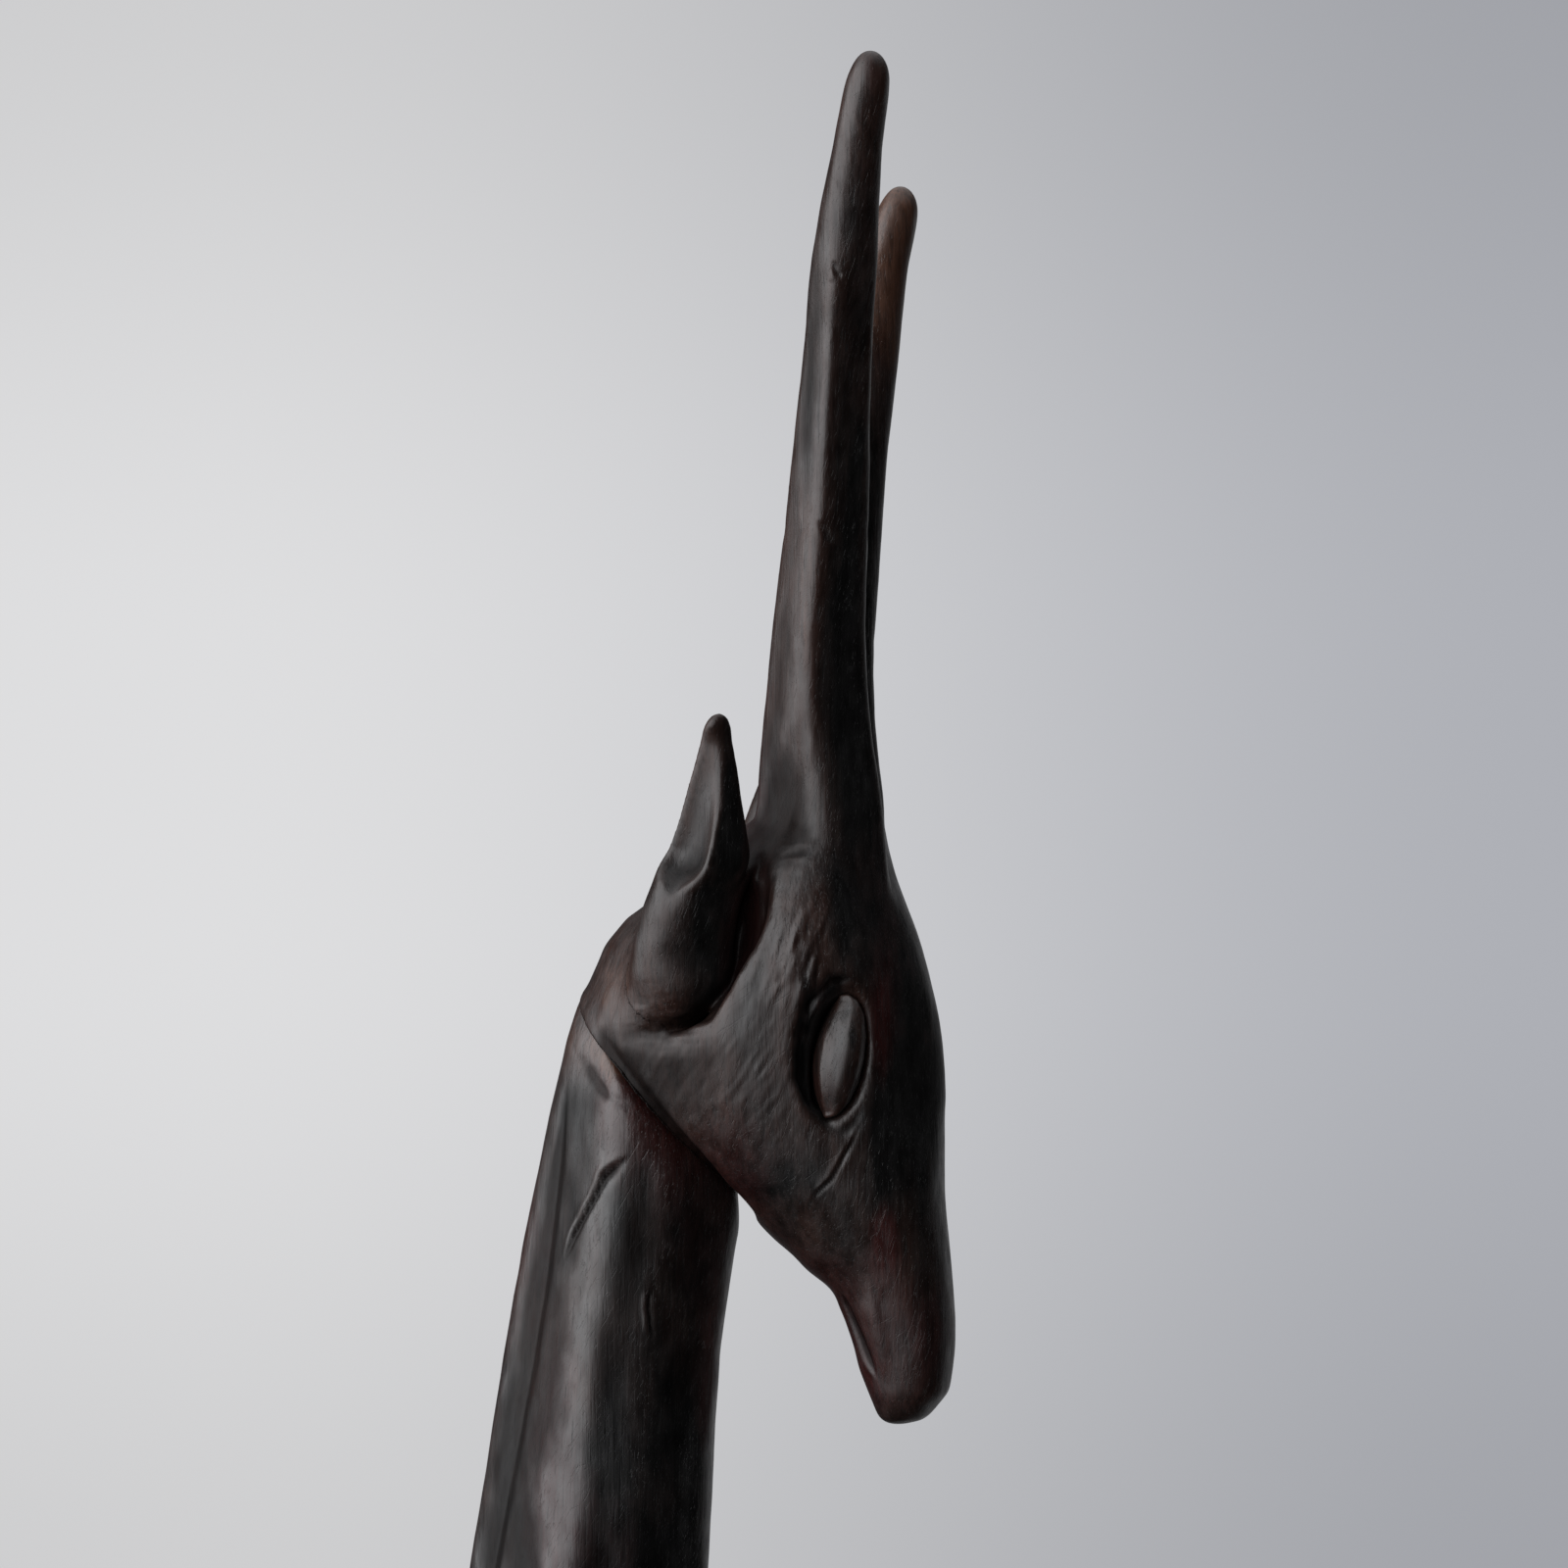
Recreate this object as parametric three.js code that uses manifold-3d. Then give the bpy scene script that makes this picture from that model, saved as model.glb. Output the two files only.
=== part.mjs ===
// A carved wooden giraffe on a plinth, about 600 mm tall, assembled from separately
// carved pieces. Millimetres, +Z up. The animal faces +X and its left side is +Y.
// The origin is the centre of the plinth's underside.
import * as THREE from "three";
import { mergeVertices } from "three/addons/utils/BufferGeometryUtils.js";
import Module from "manifold-3d";

const wasm = await Module();
wasm.setup();

// ---------------------------------------------------------------- driving dimensions

const GAP = 0.3; // clearance left between two mating pieces

const PLINTH = { length: 132, width: 74, height: 16, corner: 12, ease: 1.6 };

const TENON = { radius: 4, depth: 10 }; // round foot of each leg, let into the plinth

// Planes on which one carved piece meets the next, each by a point on it and by how far
// its upper side leans forwards, in degrees.
const HEAD_JOINT = { x: 48.7, z: 470.2, lean: 49.3, throat: 20 }; // ends that far in front of x
const NECK_JOINT = { x: 24, z: 313, lean: 12 };
const HORN_JOINT = { right: 541, left: 527.4 }; // heights at which the upper horns start

const HEAD_DOWEL = { radius: 3, half: 12 };
const NECK_DOWEL = { radius: 5, half: 18 };
const HORN_DOWEL = { radius: 1.5, half: 7 };
const HORN_LEAN = { forward: 0.1, outward: 0.08 }; // for each millimetre of height

const EYE = { x: 73.6, y: 12.4, z: 475.2, turn: 20, lean: 10 };
const EYE_BOSS = { across: 3.4, deep: 3.6, long: 8.0 };
const EYE_SOCKET = { across: 4.8, deep: 2.6, long: 9.9 };
const EYE_SINK = 1.5; // how far the middle of the eye lies behind the middle of its socket

// How finely each carved piece is cut: corners round a slice, and slices in a stack.
const AROUND = { head: 36, neck: 28, trunk: 28, horn: 20, leg: 16, ear: 20, tail: 10 };
const SLICES = { head: 24, neck: 22, trunk: 14, horn: 15, leg: 14, ear: 9, tail: 12 };
const DOME_SLICES = 4;
const EGG_SEGMENTS = { around: 16, tall: 10 };
const DOWEL_FACETS = 16;
const CORNER_SEGMENTS = 6;
const EASE_SEGMENTS = 2;

// Every carved piece is a stack of slices. One row describes the slice at a position:
// position, back edge, front edge, sideways centre, half width, where it is widest
// (a share of the way from back to front), and its squareness (2 is an ellipse, less
// gives ridges and flatter planes between them, more gives a boxier slice). The ends say
// where a stack starts and stops, and over what length it rounds off there.

const HEAD = [
  [428.1, 77.0, 80.6, 0, 2.6, 0.4, 2.1],
  [429.3, 76.3, 82.9, 0, 3.9, 0.42, 2.2],
  [431.0, 75.7, 84.6, 0, 4.8, 0.45, 2.2],
  [434.1, 74.3, 85.4, 0, 5.4, 0.5, 2.2],
  [440.4, 72.5, 85.8, 0, 6.2, 0.5, 2.2],
  [446.6, 69.4, 85.4, 0, 7.2, 0.5, 2.1],
  [449.7, 65.3, 85.1, 0, 8.1, 0.5, 2.1],
  [452.9, 61.8, 84.8, 0, 9.2, 0.5, 2.0],
  [456.0, 58.4, 84.5, 0, 10.3, 0.5, 2.0],
  [460.0, 49.0, 84.5, 0, 11.8, 0.48, 2.0],
  [465.4, 42.0, 84.5, 0, 13.4, 0.46, 2.0],
  [471.6, 38.0, 84.7, 0, 14.6, 0.46, 2.0],
  [477.9, 36.6, 84.1, 0, 15.2, 0.48, 2.0],
  [484.1, 39.0, 82.7, 0, 15.2, 0.52, 2.0],
  [490.4, 42.2, 80.8, 0, 14.3, 0.56, 2.0],
  [496.6, 50.4, 78.3, 0, 12.4, 0.58, 2.1],
  [502.9, 58.6, 76.6, 0, 10.2, 0.55, 2.2],
  [508.0, 62.4, 75.8, 0, 8.6, 0.5, 2.3],
];
const HEAD_ENDS = { low: 428.1, high: 508, domeLow: 0.9, domeHigh: 4 };

const HORN = [
  [494.0, 60.5, 78.6, 4.6, 5.6, 0.5, 1.9],
  [502.0, 60.8, 78.0, 4.9, 5.5, 0.5, 1.8],
  [509.0, 61.3, 77.3, 5.1, 5.3, 0.5, 1.7],
  [516.0, 62.1, 76.4, 5.5, 5.1, 0.5, 1.6],
  [527.5, 63.4, 75.7, 6.2, 4.9, 0.52, 1.55],
  [541.0, 65.3, 76.2, 7.2, 4.6, 0.54, 1.55],
  [558.0, 67.4, 76.9, 9.0, 4.2, 0.52, 1.55],
  [576.5, 70.1, 78.2, 11.0, 3.7, 0.4, 1.65],
  [588.5, 73.0, 79.0, 12.7, 3.1, 0.35, 1.8],
  [600.0, 75.6, 80.9, 14.2, 2.8, 0.4, 2.0],
];
const HORN_TOP = { right: 600, left: 587 };
const HORN_SET_BACK = { right: 0, left: 1.35 }; // the left horn stands a little further back
const HORN_DOME = 5;

const EAR = [
  [478.0, 47.8, 55.8, 9.6, 4.4, 0.5, 2.0],
  [484.8, 46.5, 59.5, 11.4, 4.7, 0.5, 2.0],
  [490.9, 47.8, 62.1, 12.8, 4.6, 0.5, 2.0],
  [496.9, 50.2, 63.2, 13.9, 4.3, 0.5, 1.9],
  [503.0, 52.7, 63.1, 14.9, 3.6, 0.5, 1.8],
  [507.5, 54.3, 62.3, 15.6, 3.0, 0.5, 1.7],
  [512.1, 56.0, 61.6, 16.2, 2.3, 0.5, 1.7],
  [518.0, 57.9, 60.6, 16.8, 1.5, 0.5, 1.8],
];
const EAR_ENDS = { low: 476.5, high: 518, domeLow: 5, domeHigh: 2.2 };
const EAR_SET_FORWARD = { right: 0, left: 2.2 }; // the left ear stands a little further forward
const EAR_SCOOP = { x: 54.9, y: 18.4, z: 503.5, turn: -35, lean: 15, across: 2.6, deep: 2.4, long: 9.2 };

const NECK_COLUMN = [
  [268.0, -2.0, 33.0, 0, 17.5, 0.5, 2.0],
  [290.0, 0.0, 39.0, 0, 17.5, 0.52, 1.9],
  [320.0, 6.5, 44.5, 0, 15.8, 0.54, 1.8],
  [350.0, 12.8, 48.4, 0, 14.2, 0.55, 1.75],
  [380.0, 18.0, 51.6, 0, 13.0, 0.56, 1.7],
  [409.2, 22.7, 53.8, 0, 12.2, 0.56, 1.65],
  [434.1, 26.7, 55.2, 0, 11.5, 0.55, 1.65],
  [446.6, 29.0, 56.9, 0, 11.3, 0.54, 1.65],
  [459.1, 31.6, 58.9, 0, 11.6, 0.53, 1.7],
  [471.6, 34.4, 60.5, 0, 12.2, 0.5, 1.8],
  [486.0, 38.8, 62.0, 0, 12.4, 0.5, 2.0],
];
const NECK_ENDS = { low: 268, high: 486 };

// The trunk is sliced from tail to chest: "back" is its underside and "front" its top.
const TRUNK = [
  [-54.0, 249.0, 274.0, 0, 11.0, 0.5, 2.0],
  [-46.0, 241.0, 284.0, 0, 17.5, 0.52, 2.1],
  [-32.0, 239.0, 290.0, 0, 21.0, 0.52, 2.1],
  [-12.0, 242.0, 296.0, 0, 22.0, 0.5, 2.1],
  [8.0, 243.0, 303.0, 0, 22.0, 0.48, 2.1],
  [22.0, 245.0, 306.0, 0, 20.5, 0.45, 2.1],
  [34.0, 252.0, 300.0, 0, 16.5, 0.45, 2.0],
  [40.0, 260.0, 290.0, 0, 11.0, 0.45, 2.0],
];
const TRUNK_ENDS = { low: -54, high: 40, domeLow: 8, domeHigh: 8 };

const FORELEG = [
  [16.0, 8.5, 25.5, 14.0, 7.2, 0.5, 2.4],
  [27.0, 10.0, 22.6, 14.0, 5.9, 0.5, 2.2],
  [46.0, 12.2, 21.4, 13.9, 4.3, 0.5, 2.0],
  [95.0, 12.4, 21.8, 13.5, 4.4, 0.5, 1.9],
  [120.0, 11.4, 24.2, 13.2, 5.8, 0.5, 2.0],
  [142.0, 12.2, 23.4, 12.9, 5.1, 0.5, 1.9],
  [185.0, 11.0, 27.0, 12.5, 6.4, 0.5, 1.9],
  [222.0, 8.4, 31.4, 12.0, 7.9, 0.5, 1.9],
  [262.0, 9.0, 33.0, 11.5, 8.2, 0.5, 2.0],
];
const HINDLEG = [
  [16.0, -46.5, -29.5, 13.5, 7.2, 0.5, 2.4],
  [27.0, -45.0, -32.4, 13.5, 5.9, 0.5, 2.2],
  [46.0, -45.4, -36.0, 13.4, 4.3, 0.5, 2.0],
  [90.0, -47.6, -38.0, 13.2, 4.4, 0.5, 1.9],
  [118.0, -50.0, -37.6, 13.0, 5.6, 0.5, 2.0],
  [142.0, -48.0, -35.4, 12.8, 5.3, 0.5, 1.9],
  [185.0, -46.0, -27.4, 12.4, 6.9, 0.5, 1.9],
  [222.0, -46.8, -21.0, 12.0, 8.3, 0.5, 1.9],
  [260.0, -45.0, -21.0, 11.5, 8.4, 0.5, 2.0],
];
const LEG_DOME = 10;

const TAIL = [
  [168.0, -62.6, -55.4, 0, 3.4, 0.5, 2.0],
  [182.0, -63.0, -55.0, 0, 3.8, 0.5, 1.9],
  [198.0, -60.6, -56.4, 0, 2.1, 0.5, 2.0],
  [230.0, -59.6, -55.2, 0, 2.1, 0.5, 2.0],
  [256.0, -57.8, -52.2, 0, 2.6, 0.5, 2.0],
  [272.0, -52.6, -44.6, 0, 3.2, 0.5, 2.0],
];
const TAIL_ENDS = { low: 168, high: 272, domeLow: 6, domeHigh: 4 };

const WOOD = {
  horn: { color: 0x2a2322, roughness: 0.42 },
  head: { color: 0x241b1a, roughness: 0.45 },
  neck: { color: 0x27201f, roughness: 0.45 },
  body: { color: 0x261d1b, roughness: 0.5 },
  plinth: { color: 0x1f1816, roughness: 0.55 },
  dowel: { color: 0xa98458, roughness: 0.8 },
};

// ---------------------------------------------------------------- solids and booleans

const WELD = 1e-4; // corners closer than this are one corner

function asSolid(geometry) {
  const bare = geometry.clone();
  bare.deleteAttribute("normal");
  bare.deleteAttribute("uv");
  const welded = mergeVertices(bare, WELD);
  const vertProperties = new Float32Array(welded.attributes.position.array);
  const triVerts = new Uint32Array(welded.index.array);
  return new wasm.Manifold(new wasm.Mesh({ numProp: 3, vertProperties, triVerts }));
}

function asGeometry(solid) {
  const { vertProperties, triVerts } = solid.getMesh();
  const geometry = new THREE.BufferGeometry();
  geometry.setAttribute("position", new THREE.BufferAttribute(vertProperties, 3));
  geometry.setIndex(new THREE.BufferAttribute(triVerts, 1));
  return geometry;
}

function piece(name, solid, wood) {
  const material = new THREE.MeshStandardMaterial({ ...wood, metalness: 0, flatShading: true });
  const mesh = new THREE.Mesh(asGeometry(solid), material);
  mesh.name = name;
  return mesh;
}

// ---------------------------------------------------------------- carved slices

// The row at any position, on a smooth curve through the rows that are given.
function rowAt(rows, position) {
  const last = rows.length - 1;
  const at = Math.min(Math.max(position, rows[0][0]), rows[last][0]);
  let i = 0;
  while (i < last - 1 && at > rows[i + 1][0]) {
    i += 1;
  }
  const span = rows[i + 1][0] - rows[i][0];
  const t = (at - rows[i][0]) / span;
  const slope = (k, n) => {
    const before = rows[Math.max(0, k - 1)];
    const after = rows[Math.min(last, k + 1)];
    return (after[n] - before[n]) / (after[0] - before[0]);
  };
  return rows[i].map((value, n) => {
    const rise = slope(i, n) * span;
    const fall = slope(i + 1, n) * span;
    const next = rows[i + 1][n];
    return value * (1 + 2 * t) * (1 - t) ** 2 + rise * t * (1 - t) ** 2
      + next * t * t * (3 - 2 * t) - fall * t * t * (1 - t);
  });
}

// The positions of the slices, evenly spread between the domes and bunched along them.
function slicePositions(low, high, slices, domeLow, domeHigh) {
  const list = [];
  for (let i = 0; i < DOME_SLICES && domeLow; i += 1) {
    const angle = (i / DOME_SLICES) * (Math.PI / 2);
    list.push([low + domeLow * (1 - Math.cos(angle)), Math.sin(angle)]);
  }
  for (let i = 0; i <= slices; i += 1) {
    list.push([low + domeLow + ((high - domeHigh - low - domeLow) * i) / slices, 1]);
  }
  for (let i = DOME_SLICES - 1; i >= 0 && domeHigh; i -= 1) {
    const angle = (i / DOME_SLICES) * (Math.PI / 2);
    list.push([high - domeHigh * (1 - Math.cos(angle)), Math.sin(angle)]);
  }
  return list;
}

// A closed solid through the slices. side is 1 for the animal's left and -1 for its
// right, and grow makes it fatter all round, for the socket that the piece sits in.
function carve(rows, options) {
  const { low, high, slices, around } = options;
  const { domeLow = 0, domeHigh = 0, side = 1, grow = 0, along = "z" } = options;
  const points = [];
  const put = (position, forward, sideways) => {
    points.push(...(along === "z" ? [forward, sideways, position] : [position, sideways, forward]));
  };
  const stack = slicePositions(low - grow, high + grow, slices, domeLow, domeHigh);
  stack.forEach(([position, scale]) => {
    const [, back, front, centre, half, widest, squareness] = rowAt(rows, position);
    const middle = back + (front - back) * widest;
    const power = 2 / squareness;
    for (let k = 0; k < around; k += 1) {
      const angle = (2 * Math.PI * k) / around;
      const cos = Math.cos(angle);
      const sin = Math.sin(angle);
      const reach = (cos > 0 ? front - middle : middle - back) + grow;
      const forward = middle + scale * reach * Math.sign(cos) * Math.abs(cos) ** power;
      const sideways = scale * (half + grow) * Math.sign(sin) * Math.abs(sin) ** power;
      put(position, forward, side * (centre + sideways));
    }
  });
  const poles = [stack[0], stack[stack.length - 1]].map(([position]) => {
    const [, back, front, centre, , widest] = rowAt(rows, position);
    put(position, back + (front - back) * widest, side * centre);
    return points.length / 3 - 1;
  });
  const faces = [];
  const inwards = (side > 0) !== (along === "z");
  const face = (a, b, c) => faces.push(...(inwards ? [a, c, b] : [a, b, c]));
  for (let k = 0; k < around; k += 1) {
    const next = (k + 1) % around;
    for (let i = 0; i < stack.length - 1; i += 1) {
      const [a, b] = [i * around + k, i * around + next];
      face(a, b, b + around);
      face(a, b + around, a + around);
    }
    const top = (stack.length - 1) * around;
    face(poles[0], next, k);
    face(poles[1], top + k, top + next);
  }
  const geometry = new THREE.BufferGeometry();
  geometry.setAttribute("position", new THREE.Float32BufferAttribute(points, 3));
  geometry.setIndex(faces);
  return asSolid(geometry);
}

// ---------------------------------------------------------------- joints

const HALF_BLOCK = 200; // more than the reach of any piece from its joint
const upwards = new THREE.Vector3(0, 0, 1);

// A plane square to the animal's middle, facing up and leaning forwards.
function jointPlane({ x, z, lean }) {
  const angle = THREE.MathUtils.degToRad(lean);
  const direction = new THREE.Vector3(Math.sin(angle), 0, Math.cos(angle));
  return { point: new THREE.Vector3(x, 0, z), direction };
}

// A block that fills the space above or below a plane, standing off it by half a gap.
// It ends a given distance in front of the plane's point.
function blockBy(plane, above, reach = HALF_BLOCK) {
  const { point, direction } = plane;
  const block = new THREE.BoxGeometry(HALF_BLOCK + reach, 2 * HALF_BLOCK, 2 * HALF_BLOCK);
  const rise = above ? HALF_BLOCK - GAP / 2 : GAP / 2 - HALF_BLOCK;
  block.translate((reach - HALF_BLOCK) / 2, 0, rise);
  block.applyQuaternion(new THREE.Quaternion().setFromUnitVectors(upwards, direction));
  block.translate(point.x, point.y, point.z);
  return asSolid(block);
}

const belowPlane = (solid, plane) => solid.subtract(blockBy(plane, true));
const abovePlane = (solid, plane) => solid.subtract(blockBy(plane, false));

function dowel({ radius, half }, { point, direction }, grow = 0) {
  const length = 2 * (half + grow);
  const peg = new THREE.CylinderGeometry(radius + grow, radius + grow, length, DOWEL_FACETS);
  const lengthwise = new THREE.Vector3(0, 1, 0);
  peg.applyQuaternion(new THREE.Quaternion().setFromUnitVectors(lengthwise, direction));
  peg.translate(point.x, point.y, point.z);
  return asSolid(peg);
}

// An egg shape that faces sideways, turned towards the front and leant forwards.
function egg({ across, deep, long }, centre, turn, lean, side, grow = 0) {
  const shape = new THREE.SphereGeometry(1, EGG_SEGMENTS.around, EGG_SEGMENTS.tall);
  shape.scale(across + grow, deep + grow, long + grow);
  shape.rotateY(THREE.MathUtils.degToRad(lean));
  shape.rotateZ(THREE.MathUtils.degToRad(-side * turn));
  shape.translate(centre.x, side * centre.y, centre.z);
  return asSolid(shape);
}

// ---------------------------------------------------------------- the pieces

const headJoint = jointPlane(HEAD_JOINT);
const neckJoint = jointPlane(NECK_JOINT);

// Both sides of the animal, with the words that name them.
const SIDES = [
  { word: "right", side: -1 },
  { word: "left", side: 1 },
];

// The whole horn of one side, from inside the crown to its tip.
function hornColumn({ word, side }) {
  const low = HORN[0][0];
  const shorten = (HORN_TOP[word] - low) / (HORN_TOP.right - low);
  const back = HORN_SET_BACK[word];
  const rows = HORN.map(([z, rear, front, ...rest]) =>
    [low + (z - low) * shorten, rear - back, front - back, ...rest]);
  const size = { low, high: HORN_TOP[word], slices: SLICES.horn, around: AROUND.horn };
  return carve(rows, { ...size, domeHigh: HORN_DOME, side });
}

// The level plane on which the upper horn meets its stub.
function hornJoint({ word, side }) {
  const z = HORN_JOINT[word];
  const low = HORN[0][0];
  const stretch = (HORN_TOP.right - low) / (HORN_TOP[word] - low);
  const [, rear, front, centre] = rowAt(HORN, low + (z - low) * stretch);
  const middle = (rear + front) / 2 - HORN_SET_BACK[word];
  return { point: new THREE.Vector3(middle, side * centre, z), direction: upwards };
}

function ear({ word, side }, grow = 0) {
  const forward = EAR_SET_FORWARD[word];
  const rows = EAR.map(([z, rear, front, ...rest]) => [z, rear + forward, front + forward, ...rest]);
  const size = { ...EAR_ENDS, slices: SLICES.ear, around: AROUND.ear };
  const blade = carve(rows, { ...size, side, grow });
  if (grow) {
    return blade;
  }
  const centre = { ...EAR_SCOOP, x: EAR_SCOOP.x + forward };
  return blade.subtract(egg(EAR_SCOOP, centre, EAR_SCOOP.turn, EAR_SCOOP.lean, side));
}

function eye({ side }, grow = 0) {
  const turn = THREE.MathUtils.degToRad(EYE.turn);
  const x = EYE.x - EYE_SINK * Math.sin(turn);
  const y = EYE.y - EYE_SINK * Math.cos(turn);
  const sunk = { x, y, z: EYE.z };
  return egg(EYE_BOSS, sunk, EYE.turn, EYE.lean, side, grow);
}

function eyeSocket({ side }) {
  return egg(EYE_SOCKET, EYE, EYE.turn, EYE.lean, side);
}

function hornDowel(which, grow = 0) {
  const { point } = hornJoint(which);
  const direction = new THREE.Vector3(HORN_LEAN.forward, which.side * HORN_LEAN.outward, 1);
  return dowel(HORN_DOWEL, { point, direction: direction.normalize() }, grow);
}

function head() {
  let carved = carve(HEAD, { ...HEAD_ENDS, slices: SLICES.head, around: AROUND.head });
  SIDES.forEach((which) => {
    carved = carved.add(belowPlane(hornColumn(which), hornJoint(which)));
  });
  carved = carved.subtract(blockBy(headJoint, false, HEAD_JOINT.throat));
  SIDES.forEach((which) => {
    carved = carved.subtract(eyeSocket(which)).subtract(eye(which, GAP));
    carved = carved.subtract(ear(which, GAP)).subtract(hornDowel(which, GAP));
  });
  return carved.subtract(dowel(HEAD_DOWEL, headJoint, GAP));
}

function horn(which) {
  const upper = abovePlane(hornColumn(which), hornJoint(which));
  return upper.subtract(hornDowel(which, GAP));
}

function neckColumn() {
  return carve(NECK_COLUMN, { ...NECK_ENDS, slices: SLICES.neck, around: AROUND.neck });
}

function neck() {
  const between = abovePlane(belowPlane(neckColumn(), headJoint), neckJoint);
  const bored = between.subtract(dowel(HEAD_DOWEL, headJoint, GAP));
  return bored.subtract(dowel(NECK_DOWEL, neckJoint, GAP));
}

function leg(rows, { side }, grow = 0) {
  const low = PLINTH.height + GAP;
  const high = rows[rows.length - 1][0];
  const size = { low, high, slices: SLICES.leg, around: AROUND.leg };
  const limb = carve(rows, { ...size, domeHigh: LEG_DOME, side, grow });
  return limb.add(tenon(rows, side, grow));
}

// The round tenon under a leg, running up into the foot so that the two are one piece.
function tenon([foot], side, grow = 0) {
  const point = new THREE.Vector3((foot[1] + foot[2]) / 2, side * foot[3], PLINTH.height);
  return dowel({ radius: TENON.radius, half: TENON.depth }, { point, direction: upwards }, grow);
}

function tail(grow = 0) {
  return carve(TAIL, { ...TAIL_ENDS, slices: SLICES.tail, around: AROUND.tail, grow });
}

function body() {
  const size = { ...TRUNK_ENDS, slices: SLICES.trunk, around: AROUND.trunk };
  const trunk = carve(TRUNK, { ...size, along: "x" });
  let carved = trunk.add(belowPlane(neckColumn(), neckJoint));
  SIDES.forEach((which) => {
    carved = carved.subtract(leg(FORELEG, which, GAP)).subtract(leg(HINDLEG, which, GAP));
  });
  return carved.subtract(tail(GAP)).subtract(dowel(NECK_DOWEL, neckJoint, GAP));
}

// A block with rounded corners and eased edges, standing on z = 0.
function plinth() {
  const { length, width, height, corner, ease } = PLINTH;
  const [x, y] = [length / 2 - ease, width / 2 - ease];
  const radius = corner - ease;
  const outline = new THREE.Shape();
  outline.absarc(x - radius, y - radius, radius, 0, Math.PI / 2);
  outline.absarc(radius - x, y - radius, radius, Math.PI / 2, Math.PI);
  outline.absarc(radius - x, radius - y, radius, Math.PI, 1.5 * Math.PI);
  outline.absarc(x - radius, radius - y, radius, 1.5 * Math.PI, 2 * Math.PI);
  const block = new THREE.ExtrudeGeometry(outline, {
    depth: height - 2 * ease,
    curveSegments: CORNER_SEGMENTS,
    bevelSize: ease,
    bevelThickness: ease,
    bevelSegments: EASE_SEGMENTS,
  });
  block.translate(0, 0, ease);
  let carved = asSolid(block);
  SIDES.forEach(({ side }) => {
    carved = carved.subtract(tenon(FORELEG, side, GAP)).subtract(tenon(HINDLEG, side, GAP));
  });
  return carved;
}

// ---------------------------------------------------------------- the assembly

const stand = new THREE.Group();
stand.add(piece("plinth", plinth(), WOOD.plinth));
SIDES.forEach((which) => {
  stand.add(piece(`foreleg_${which.word}`, leg(FORELEG, which), WOOD.body));
  stand.add(piece(`hindleg_${which.word}`, leg(HINDLEG, which), WOOD.body));
});

const trunkAndNeck = new THREE.Group();
trunkAndNeck.add(piece("body", body(), WOOD.body));
trunkAndNeck.add(piece("tail", tail(), WOOD.body));
trunkAndNeck.add(piece("neck", neck(), WOOD.neck));
trunkAndNeck.add(piece("neck_dowel", dowel(NECK_DOWEL, neckJoint), WOOD.dowel));
trunkAndNeck.add(piece("head_dowel", dowel(HEAD_DOWEL, headJoint), WOOD.dowel));

const headGroup = new THREE.Group();
headGroup.add(piece("head", head(), WOOD.head));
SIDES.forEach((which) => {
  headGroup.add(piece(`ear_${which.word}`, ear(which), WOOD.head));
  headGroup.add(piece(`eye_${which.word}`, eye(which), WOOD.head));
  headGroup.add(piece(`horn_${which.word}`, horn(which), WOOD.horn));
  headGroup.add(piece(`horn_dowel_${which.word}`, hornDowel(which), WOOD.dowel));
});

const giraffe = new THREE.Group();
giraffe.name = "carved_giraffe_statue";
giraffe.add(stand, trunkAndNeck, headGroup);

export default giraffe;
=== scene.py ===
import bpy
import numpy as np
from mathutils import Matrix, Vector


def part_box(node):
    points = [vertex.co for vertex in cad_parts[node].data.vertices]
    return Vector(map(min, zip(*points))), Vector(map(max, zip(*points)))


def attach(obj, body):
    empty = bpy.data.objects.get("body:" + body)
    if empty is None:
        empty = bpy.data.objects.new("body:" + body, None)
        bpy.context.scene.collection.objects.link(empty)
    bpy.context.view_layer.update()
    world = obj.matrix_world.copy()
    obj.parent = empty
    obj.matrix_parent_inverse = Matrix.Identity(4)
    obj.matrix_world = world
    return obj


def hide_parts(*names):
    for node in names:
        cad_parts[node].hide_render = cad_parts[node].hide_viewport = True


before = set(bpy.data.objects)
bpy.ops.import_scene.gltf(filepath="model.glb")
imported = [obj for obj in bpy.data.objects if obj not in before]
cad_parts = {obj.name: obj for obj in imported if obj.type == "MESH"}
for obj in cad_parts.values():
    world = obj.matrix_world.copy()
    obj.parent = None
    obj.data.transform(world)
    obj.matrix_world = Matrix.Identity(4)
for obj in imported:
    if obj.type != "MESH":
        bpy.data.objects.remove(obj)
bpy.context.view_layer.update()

import openvdb
from mathutils import Vector

# A carved wooden giraffe. Each carved surface starts from its CAD solids as a field of
# distances, is softened and cut with planes and hollows, is meshed again piece by piece, and
# then gets its knife marks and stains, and painted light and shade in its colour. Shapes are
# worked out in millimetres and turned into metres when a mesh is made. +X is the way the
# animal faces, +Y its left and +Z up.
MM = 0.001
BAND = 3.0  # how far from a surface its distances are kept
LAP = 0.9  # how far a piece runs on under the next piece's surface
SINK = 0.08  # how far it lies below that surface there
GAP = 0.3  # the clearance between two CAD pieces that meet
SWELL = 0.22  # what carved surfaces are grown by after softening

SIDES = {"right": -1, "left": 1}  # which way along Y each side is


# ---------------------------------------------------------------- places, from the frame

def low_corner(node):
    return np.array(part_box(node)[0]) / MM


def high_corner(node):
    return np.array(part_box(node)[1]) / MM


def middle(node):
    return (low_corner(node) + high_corner(node)) / 2


def corners_of(node):
    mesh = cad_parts[node].data
    points = np.empty(len(mesh.vertices) * 3, np.float32)
    mesh.vertices.foreach_get("co", points)
    return points.reshape(-1, 3) / MM


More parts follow.
